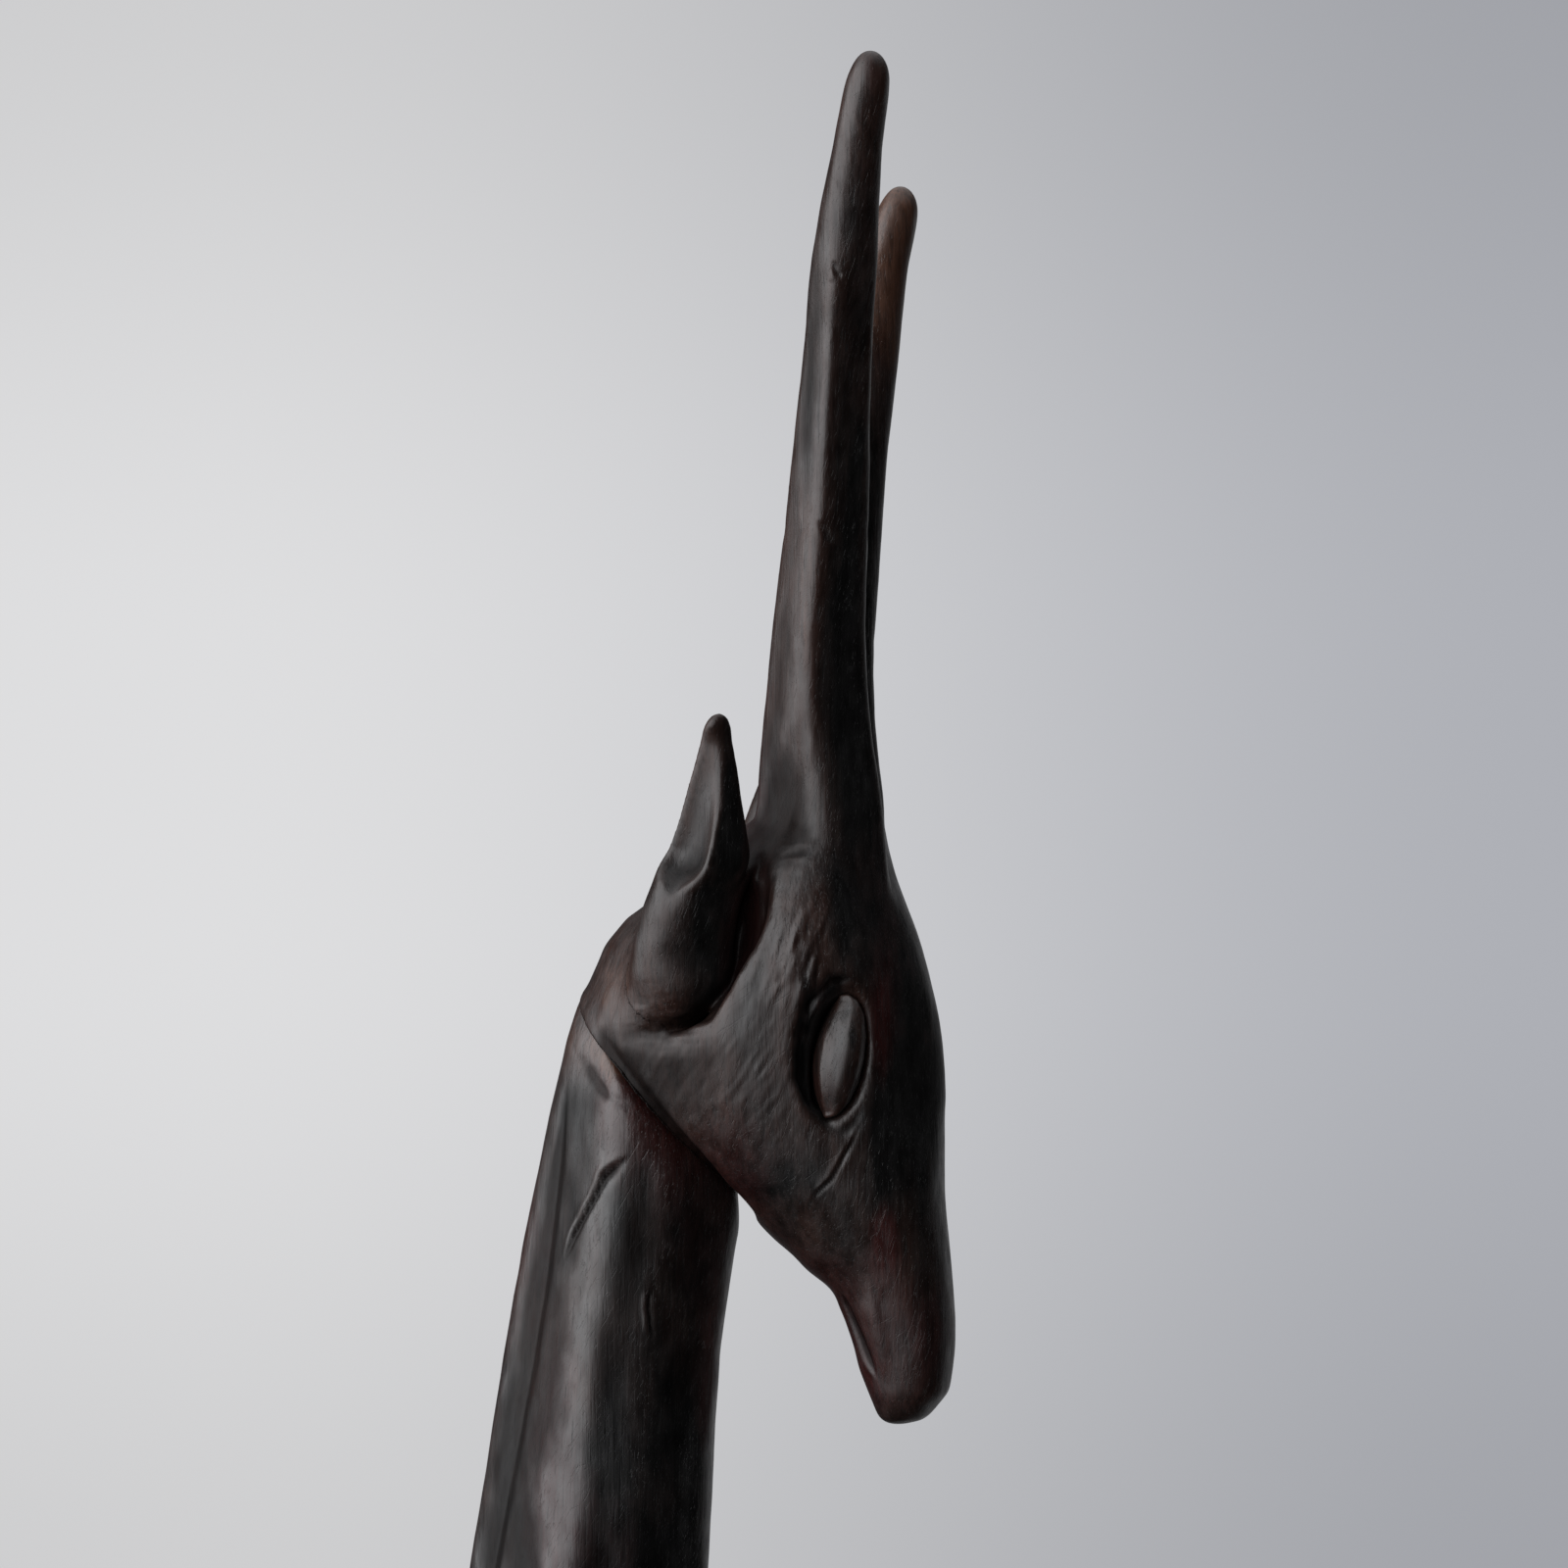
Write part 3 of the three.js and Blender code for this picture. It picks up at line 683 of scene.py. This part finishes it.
def dress_plinth(points, normals):
    """The plinth, with its grain running along it."""
    lift = 0.12 * noise(points, size=9, seed=71, stretch=(2.5, 1, 1))
    lift += 0.04 * noise(points, size=2, seed=72, stretch=(3, 1, 1))
    return lift, 0.1 + stain(points, seed=73, size=18), noise(points, size=15, seed=75)


# ---------------------------------------------------------------- materials

# BLACK and BROWN also carry painted light and shade: sides facing the window are made browner, and
# forward-facing sides of the head and lower horns blacker.
BLACK = (0.003, 0.0027, 0.0027)  # the finish
BROWN = (0.026, 0.012, 0.009)  # the wood under it
RED = (0.025, 0.0034, 0.003)
TAN = (0.062, 0.028, 0.017)  # wood rubbed quite bare
PALE = (0.36, 0.22, 0.12)  # wood that was never stained


class Graph:
    """Shader nodes, with short ways to add and join them. Lengths are millimetres."""

    def __init__(self, tree):
        self.tree = tree
        self.nodes = tree.nodes

    def join(self, socket, value):
        """Links an output to a socket, or sets the socket to a number or a colour."""
        if isinstance(value, bpy.types.NodeSocket):
            self.tree.links.new(value, socket)
        elif isinstance(value, tuple) and len(value) < len(socket.default_value):
            socket.default_value = (*value, 1)
        else:
            socket.default_value = value

    def ramp(self, value, start, end, low=0, high=1):
        """From low to high as the value goes from start to end."""
        ramp = self.nodes.new("ShaderNodeMapRange")
        for socket, number in zip(ramp.inputs[:5], (value, start, end, low, high)):
            self.join(socket, number)
        return ramp.outputs["Result"]

    def maths(self, operation, a, b):
        node = self.nodes.new("ShaderNodeMath")
        node.operation = operation
        self.join(node.inputs[0], a)
        self.join(node.inputs[1], b)
        return node.outputs[0]

    def sum(self, *terms):
        total = terms[0]
        for term in terms[1:]:
            total = self.maths("ADD", total, term)
        return total

    def times(self, a, b):
        return self.maths("MULTIPLY", a, b)

    def mix(self, factor, a, b, blend="MIX"):
        node = self.nodes.new("ShaderNodeMix")
        node.data_type = "RGBA"
        node.blend_type = blend
        colour_a, colour_b, colour_out = 6, 7, 2  # where the node keeps its colours
        self.join(node.inputs["Factor"], factor)
        self.join(node.inputs[colour_a], a)
        self.join(node.inputs[colour_b], b)
        return node.outputs[colour_out]

    def shades(self, colour, value):
        """A colour made darker or lighter by a number."""
        grey = self.nodes.new("ShaderNodeCombineColor")
        for socket in grey.inputs:
            self.join(socket, value)
        return self.mix(1, colour, grey.outputs[0], "MULTIPLY")

    def attribute(self, name):
        """A value stored at each point of the mesh."""
        node = self.nodes.new("ShaderNodeAttribute")
        node.attribute_name = name
        return node.outputs["Fac"]

    def facing(self, way, direction, start, end):
        """0 to 1 as a way turns towards a direction, by the cosine between them."""
        dot = self.nodes.new("ShaderNodeVectorMath")
        dot.operation = "DOT_PRODUCT"
        self.join(dot.inputs[0], way)
        self.join(dot.inputs[1], tuple(Vector(direction).normalized()))
        result = self.ramp(dot.outputs["Value"], start, end)
        result.node.interpolation_type = "SMOOTHSTEP"
        return result

    def bump(self, height, depth, below=None):
        """Raises the surface by a height of 0 to 1 times a depth, on top of another bump."""
        node = self.nodes.new("ShaderNodeBump")
        self.join(node.inputs["Strength"], 1)
        self.join(node.inputs["Distance"], depth * MM)
        self.join(node.inputs["Height"], height)
        if below:
            self.join(node.inputs["Normal"], below)
        return node.outputs[0]


class Material(Graph):
    """A material's nodes, with the place on the object in millimetres."""

    def __init__(self, name):
        self.made = bpy.data.materials.new(name)
        self.made.use_nodes = True
        super().__init__(self.made.node_tree)
        self.shader = self.nodes["Principled BSDF"]
        scale = self.nodes.new("ShaderNodeVectorMath")
        scale.operation = "SCALE"
        self.join(scale.inputs["Scale"], 1 / MM)
        self.join(scale.inputs[0], self.nodes.new("ShaderNodeTexCoord").outputs["Object"])
        self.place = scale.outputs[0]

    def noise(self, size, seed, turn=0, detail=3, warp=0):
        """Cloudy values round 0.5 in blobs of a size (x, y, z), turned by degrees about Y."""
        shift = (7.3 * seed, 3.1 * seed, 5.7 * seed)  # each seed reads another place in it
        mapping = self.nodes.new("ShaderNodeMapping")
        mapping.vector_type = "TEXTURE"
        self.join(mapping.inputs["Vector"], self.place)
        self.join(mapping.inputs["Scale"], size)
        self.join(mapping.inputs["Location"], shift)
        self.join(mapping.inputs["Rotation"], (0, np.radians(turn), 0))
        cloud = self.nodes.new("ShaderNodeTexNoise")
        self.join(cloud.inputs["Vector"], mapping.outputs[0])
        self.join(cloud.inputs["Scale"], 1)
        self.join(cloud.inputs["Detail"], detail)
        self.join(cloud.inputs["Distortion"], warp)
        return cloud.outputs["Fac"]

    def give(self, **inputs):
        """Sets or joins inputs of the shader, by their names with underscores for spaces."""
        for name, value in inputs.items():
            self.join(self.shader.inputs[name.replace("_", " ")], value)


def carved_wood(name, seed, along="z", gloss=0.36, shine=0.5, marks=1.0, lean=24):
    """Hand-carved wood stained black and waxed, with grain, pores, wear, fine scratches and painted
    shade in hollows.

    The grain runs along X or Z. gloss is the roughness, shine how much light the wax
    mirrors, marks how deep the fine marks are and lean how far the scratches lean."""
    graph = Material(name)

    def grain(across, length):
        return (length, across, across) if along == "x" else (across, across, length)

    fibre = graph.noise(grain(0.5, 9), seed, detail=5, warp=0.6)
    streak = graph.noise(grain(2.6, 40), seed + 1, detail=3, warp=0.4)
    pore = graph.ramp(graph.noise(grain(0.3, 4.5), seed + 2), 0.61, 0.72)
    cloud = graph.noise(grain(1.6, 3.6), seed + 3, detail=2)
    scratch = graph.ramp(graph.noise((0.24, 0.24, 7), seed + 4, turn=lean), 0.62, 0.68)
    cross = graph.ramp(graph.noise((0.3, 0.3, 9), seed + 5, turn=lean + 34), 0.66, 0.71)
    scuffs = graph.sum(scratch, graph.times(cross, 0.7))
    wear_and_hollow_shade = graph.attribute("wear_and_hollow_shade")

    graph.give(Base_Color=wood_colour(graph, wear_and_hollow_shade, fibre, streak, pore, cloud))
    rough = graph.ramp(cloud, 0.3, 0.7, gloss - 0.05, gloss + 0.16)
    rough = graph.sum(rough, graph.times(pore, 0.15), graph.ramp(wear_and_hollow_shade, 0.2, 0.5, 0.15, 0))
    graph.give(Roughness=rough)
    # Painted shade: hollows mirror less light.
    graph.give(Specular_IOR_Level=graph.ramp(wear_and_hollow_shade, 0.05, 0.45, 0.2 * shine, shine))
    graph.give(Coat_Weight=0.24 * shine)
    graph.give(Coat_Roughness=0.22)

    surface = graph.bump(cloud, 0.08 * marks)
    surface = graph.bump(fibre, 0.06 * marks, surface)
    surface = graph.bump(graph.maths("SUBTRACT", 1, pore), 0.016 * marks, surface)
    surface = graph.bump(graph.maths("SUBTRACT", 1, scuffs), 0.016 * marks, surface)
    graph.give(Normal=surface)
    return graph.made


def wood_colour(graph, wear_and_hollow_shade, fibre, streak, pore, cloud):
    """Black where the finish is whole, then brown, red or tan as more of it is gone or where brown is
    painted on as light, and darker in hollows as painted shade.
    """
    brown = graph.sum(graph.attribute("brown"), graph.times(streak, 0.5), graph.times(cloud, 0.35))
    brown = graph.sum(brown, graph.ramp(wear_and_hollow_shade, 0.5, 0.9, 0, 0.3), -0.42)
    bare = graph.ramp(brown, 1.1, 1.7)
    brown = graph.ramp(brown, 0.1, 1.1)
    red = graph.ramp(graph.sum(graph.attribute("red"), graph.times(cloud, 0.5)), 0.35, 1.05)
    colour = graph.mix(brown, BLACK, BROWN)
    colour = graph.mix(graph.times(red, 0.75), colour, RED)
    colour = graph.mix(bare, colour, TAN)
    colour = graph.shades(colour, graph.ramp(fibre, 0.3, 0.7, 0.55, 1.4))
    colour = graph.shades(colour, graph.ramp(pore, 0, 1, 1, 0.35))
    # Painted shade: darker in hollows.
    return graph.shades(colour, graph.ramp(wear_and_hollow_shade, 0.1, 0.45, 0.4, 1))


def horn_wood():
    return carved_wood("horn_wood", seed=1, gloss=0.35, shine=0.5, lean=20)


def head_wood():
    return carved_wood("head_wood", seed=1, gloss=0.35, shine=0.43, lean=20)


def neck_wood():
    return carved_wood("neck_wood", seed=21, shine=0.62, marks=1.2, lean=30)


def body_wood():
    return carved_wood("body_wood", seed=21, shine=0.62, marks=1.2, lean=30)


def plinth_wood():
    return carved_wood("plinth_wood", seed=41, along="x", gloss=0.45, lean=70)


def dowel_wood():
    """Bare turned pegs."""
    graph = Material("dowel_wood")
    fibre = graph.noise((0.4, 0.4, 8), seed=51, detail=4)
    colour = graph.shades(PALE, graph.ramp(fibre, 0.3, 0.7, 0.7, 1.2))
    graph.give(Base_Color=colour)
    graph.give(Roughness=graph.ramp(fibre, 0.3, 0.7, 0.6, 0.8))
    graph.give(Normal=graph.bump(fibre, 0.05))
    return graph.made


MATERIALS = {make.__name__: make() for make in
             (horn_wood, head_wood, neck_wood, body_wood, plinth_wood, dowel_wood)}


# ---------------------------------------------------------------- building the pieces

def build_head():
    """The head with its horns and ears, as one carved surface."""
    horns = ["horn_right", "horn_left"]
    ears = ["ear_right", "ear_left"]
    flush = ["head", *horns, "neck"]
    block = Block(pitch=0.3, flush=flush, attached=ears, fillet=2.5, ends=["neck"])
    block.soften(0.6, SWELL)
    for k, (word, side) in enumerate(SIDES.items()):
        plane_horn(block, word, side, k)
        low, high = EYES[word][2] - 20, CROWN - 4
        block.facet(["head"], side, turn=-50, depth=0.9, low=low, high=high, seed=205 + k, fade=14)
        scoop_ear(block, word, side)
        eye = EYES[word]
        reach = np.array([36, 30, 46])  # takes in all the hollows
        block.mark(side, eye - reach, eye + reach, lambda flat: ear_hollows(flat - eye))
    block.soften(0.25)
    block.ridges(1.2)
    # Painted shade in the hollows round the ears and at the horns' feet.
    finish_piece(block, "head", "head_wood", dress_head, painted_hollow_shade)
    for word in SIDES:
        finish_piece(block, f"horn_{word}", "horn_wood", dress_horns_and_head, painted_hollow_shade)
        finish_piece(block, f"ear_{word}", "head_wood", dress_ear, painted_hollow_shade)


def plane_horn(block, word, side, k):
    """The long planes down the rear and the front of a horn's outer side."""
    limb = [f"horn_{word}", "head"]
    tip = HORN_TIPS[word]
    rear = {"turn": 44, "depth": 0.5, "low": CROWN - 34, "high": tip - 18, "fade": 18}
    front = {"turn": -43, "depth": HORN_FRONTS[word], "low": CROWN - 30, "high": tip - 20, "fade": 16}
    block.facet(limb, side, seed=201 + k, **rear)
    block.facet(limb, side, seed=203 + k, **front)


def scoop_ear(block, word, side):
    """The long hollow of an ear, open outwards and backwards, with two planes in front of it."""
    ear = f"ear_{word}"
    low, high = low_corner(ear), high_corner(ear)
    outer = high[1] if side > 0 else low[1]
    long_plane = {"turn": -42, "depth": 1.3, "low": low[2] + 12, "high": high[2] + 2, "fade": 6}
    foot_plane = {"turn": -32, "depth": 2.4, "low": low[2] + 3, "high": low[2] + 27, "fade": 9}
    block.facet([ear], side, seed=231, **long_plane)
    block.facet([ear], side, seed=232, edge=2.0, **foot_plane)
    radius = 3.8
    bite = 1.4  # how deep the rod goes in
    away = np.array([-0.45, 0.89 * side, 0]) * (radius - bite)
    bottom = np.array([low[0] + 8.4, outer - 3.0 * side, low[2] + 24])
    top = np.array([high[0] - 4.9, outer - 0.2 * side, high[2] - 5])
    block.hollow(bottom + away, top + away, radius)


def build_eyes():
    """The bosses of the eyes, each cut with three planes."""
    planes = ((14, 0.75), (62, 0.5), (-24, 0.3))  # how far each is turned, and its depth
    for word, side in SIDES.items():
        node = f"eye_{word}"
        block = Block(pitch=0.15, flush=[node])
        block.soften(0.2)
        low, high = low_corner(node)[2] - 1, high_corner(node)[2] + 1
        for k, (turn, depth) in enumerate(planes):
            block.facet([node], side, turn, depth, low, high, seed=221 + k, fade=2, edge=0.35)
        block.ridges(0.6)
        finish_piece(block, node, "head_wood", dress_eye)


def build_neck():
    """The neck, cut back where it goes in under the cheek."""
    block = Block(pitch=0.4, flush=["neck", "head", "body"], ends=["head", "body"])
    block.soften(0.8, SWELL)
    plane_neck(block)
    joint = HEAD_JOINT[0]
    reach = np.array([30, 30, 30])  # takes in the whole width of the neck
    both_sides = 0
    block.mark(both_sides, joint - reach, joint + reach, lambda flat: -COLLAR_DEPTH * collar(flat))
    block.ridges(1.6)
    # Painted shade in the hollows near the ears, as on the head.
    finish_piece(block, "neck", "neck_wood", dress_neck, painted_hollow_shade)


def plane_neck(block):
    """The long planes down the sides of the neck, coming in above the shoulders."""
    planes = ((37, 0.9), (-20, 0.65), (-43, 0.9))  # how far each is turned, and its depth
    limb = ["neck", "body"]
    low, high = low_corner("neck")[2], high_corner("neck")[2] + 40
    for k, side in enumerate(SIDES.values()):
        for turn, depth in planes:
            block.facet(limb, side, turn, depth, low, high, seed=211 + k, fade=30, edge=0.7)


def build_body():
    """The body with its legs and tail, as one carved surface that runs on into the neck."""
    legs = [f"{limb}_{word}" for limb in ("foreleg", "hindleg") for word in SIDES]
    limbs = [*legs, "tail"]
    block = Block(pitch=0.5, flush=["body", "neck"], attached=limbs, fillet=4.0, ends=["neck"])
    block.soften(0.8, SWELL)
    plane_neck(block)
    block.ridges(1.6)
    finish_piece(block, "body", "body_wood", dress_trunk)
    finish_piece(block, "tail", "body_wood", dress_tail)
    for leg in legs:
        finish_piece(block, leg, "body_wood", dress_leg)


def build_plinth():
    """The plinth, with its edges worn soft."""
    block = Block(pitch=0.6, flush=["plinth"])
    block.soften(0.7)
    block.ridges(2.0)
    finish_piece(block, "plinth", "plinth_wood", dress_plinth)


def dress_dowels():
    """The dowels keep their shape from the CAD, in wood that was never stained."""
    for node in ("neck_dowel", "head_dowel", "horn_dowel_left", "horn_dowel_right"):
        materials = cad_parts[node].data.materials
        materials.clear()
        materials.append(MATERIALS["dowel_wood"])


# ---------------------------------------------------------------- studio

def studio():
    """A pale wall, and light from a large window behind the animal's right and from overhead."""
    bpy.context.scene.view_settings.view_transform = "Standard"
    world = bpy.data.worlds.new("studio")
    bpy.context.scene.world = world
    world.use_nodes = True
    graph = Graph(world.node_tree)
    way = graph.nodes.new("ShaderNodeTexCoord").outputs["Generated"]

    # Painted light and shade on the wall the camera sees: pale behind the animal, darker grey towards
    # its front, and darker towards the top and bottom.
    behind = graph.facing(way, (-1, 0, 0), 0.02, 0.34)
    wall = graph.mix(behind, (0.42, 0.43, 0.465), (0.73, 0.73, 0.74))
    above = graph.ramp(graph.facing(way, (0, 0, 1), 0.03, 0.2), 0, 1, 1, 0.84)
    below = graph.ramp(graph.facing(way, (0, 0, -1), 0.03, 0.2), 0, 1, 1, 0.84)
    wall = graph.shades(wall, graph.times(above, below))

    dark, dim = (0.009, 0.009, 0.009), (0.07, 0.07, 0.075)
    left = graph.facing(way, (0, 1, 0), 0.3, 1)
    light = graph.mix(left, dark, dim)
    bounce = graph.facing(way, (0.35, 0.85, -0.4), 0.62, 0.97)
    light = graph.mix(bounce, light, (0.36, 0.36, 0.37))
    overhead = graph.facing(way, (0, 0.15, 1), 0.5, 0.95)
    light = graph.mix(overhead, light, (1.0, 1.02, 1.05))
    window = graph.facing(way, (-0.71, -0.71, 0.1), 0.42, 0.88)
    sill = graph.ramp(graph.facing(way, (0, 0, -1), 0.05, 0.5), 0, 1, 1, 0)
    light = graph.mix(graph.times(window, sill), light, (3.3, 3.32, 3.4))

    # The camera sees the wall, and everything else is lit by the light.
    seen = graph.nodes.new("ShaderNodeLightPath").outputs["Is Camera Ray"]
    graph.join(graph.nodes["Background"].inputs["Color"], graph.mix(seen, light, wall))


def floor():
    """A round pale floor that the plinth stands on, thinning out towards its rim."""
    radius = 1.6
    corners = 96
    turns = np.arange(corners) * 2 * np.pi / corners
    rim = [(radius * np.cos(t), radius * np.sin(t), 0) for t in turns]
    mesh = bpy.data.meshes.new("floor")
    mesh.from_pydata(rim, [], [range(corners)])
    made = bpy.data.objects.new("floor", mesh)
    bpy.context.scene.collection.objects.link(made)
    graph = Material("pale_floor")
    graph.give(Base_Color=(0.78, 0.78, 0.79))
    graph.give(Roughness=0.8)
    length = graph.nodes.new("ShaderNodeVectorMath")
    length.operation = "LENGTH"
    graph.join(length.inputs[0], graph.place)
    start = 0.35 * radius
    thin = graph.ramp(length.outputs["Value"], start / MM, radius / MM, 1, 0)
    graph.give(Alpha=thin)
    made.data.materials.append(graph.made)
    made.visible_diffuse = False
    made.visible_glossy = False


def camera():
    """At the animal's right, a little to its front, level with its head."""
    azimuth = np.radians(12)
    distance = 0.556
    aim = Vector((0.0639, 0, 0.5091))
    away = Vector((np.sin(azimuth), -np.cos(azimuth), 0))
    data = bpy.data.cameras.new("camera")
    data.lens = 100
    made = bpy.data.objects.new("camera", data)
    made.location = aim + away * distance
    made.rotation_euler = (-away).to_track_quat("-Z", "Y").to_euler()
    bpy.context.scene.collection.objects.link(made)
    bpy.context.scene.camera = made


camera()
studio()
floor()
build_head()
build_eyes()
build_neck()
build_body()
build_plinth()
dress_dowels()
